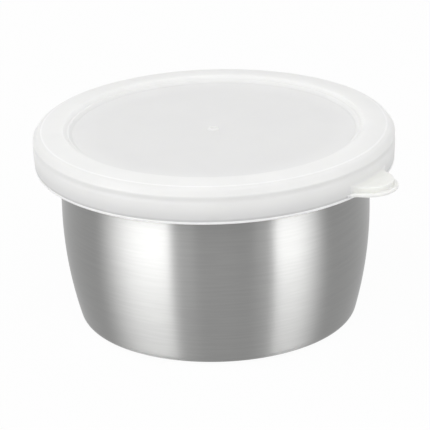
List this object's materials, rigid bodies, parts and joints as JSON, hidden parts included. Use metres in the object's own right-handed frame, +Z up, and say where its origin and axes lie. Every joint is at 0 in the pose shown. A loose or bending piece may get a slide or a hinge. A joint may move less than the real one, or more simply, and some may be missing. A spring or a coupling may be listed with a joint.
{
  "type": "lidded sauce cup",
  "caption": "Small round brushed-steel sauce cup with a curled flange and a soft translucent press-on lid with a rounded pull tab.",
  "frame": {"origin": "centre of the cup's flat base, on its underside", "axes": "+Z up along the cup's axis, the way the lid lifts; +X towards the lid's pull tab"},
  "size_m": [0.0805, 0.075, 0.0417],
  "materials": {
    "steel": "fine brushed, lines running round the cup",
    "lid_plastic": "satin, milky translucent polyethylene"
  },
  "bodies": {
    "cup": {"cup": "steel"},
    "lid": {"lid": "lid_plastic"}
  },
  "joints": [
    {"name": "lid_lift", "type": "slide", "parent": "cup", "child": "lid", "axis": [0, 0, 1], "range_m": [0, 0.05]}
  ]
}
